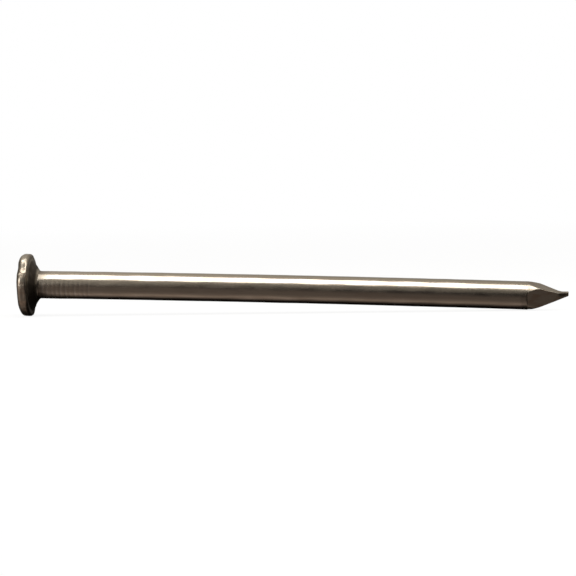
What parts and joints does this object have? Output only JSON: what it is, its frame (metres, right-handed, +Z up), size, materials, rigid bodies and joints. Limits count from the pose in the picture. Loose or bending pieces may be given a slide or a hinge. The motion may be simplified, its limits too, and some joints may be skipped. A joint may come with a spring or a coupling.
{
  "type": "round wire nail",
  "caption": "Round plain-head wire nail: flat head with a coned underside, gripper marks below it, smooth shank and pinched diamond point.",
  "frame": {"origin": "on the bench, under the middle of the nail's bounding box", "axes": "+X along the nail from its head to its point, +Z up from the bench it lies on; the nail's own axis dips 1.99 degrees below +X towards the point, because it rests on the head's rim and on the end of the shank"},
  "size_m": [0.075, 0.0086, 0.0086],
  "materials": {
    "steel": "bright drawn wire, slightly dulled and warm grey, with fine lines along the shank"
  },
  "bodies": {
    "root": {"nail": "steel"}
  },
  "joints": []
}
